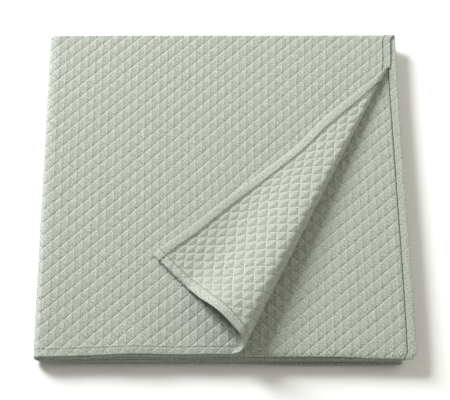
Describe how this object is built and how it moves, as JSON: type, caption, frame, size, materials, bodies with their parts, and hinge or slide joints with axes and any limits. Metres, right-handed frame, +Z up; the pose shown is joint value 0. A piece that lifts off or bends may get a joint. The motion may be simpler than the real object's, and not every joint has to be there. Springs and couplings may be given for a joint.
{
  "type": "folded bedspread",
  "caption": "Woven cotton bedspread with a diamond relief and sewn hems, folded flat into a thick package with one corner of its top layer turned back.",
  "frame": {"origin": "on the surface that the package lies on, under the middle of its outline", "axes": "+Z up out of the package's top, +Y from its front edge to its back edge, +X to the right, towards the free side edges"},
  "size_m": [0.586, 0.628, 0.0589],
  "materials": {
    "woven_cotton": "matte woven cotton in a pale grey-green, with a small raised diamond pattern"
  },
  "bodies": {
    "root": {"bedspread": "woven_cotton"}
  },
  "joints": []
}
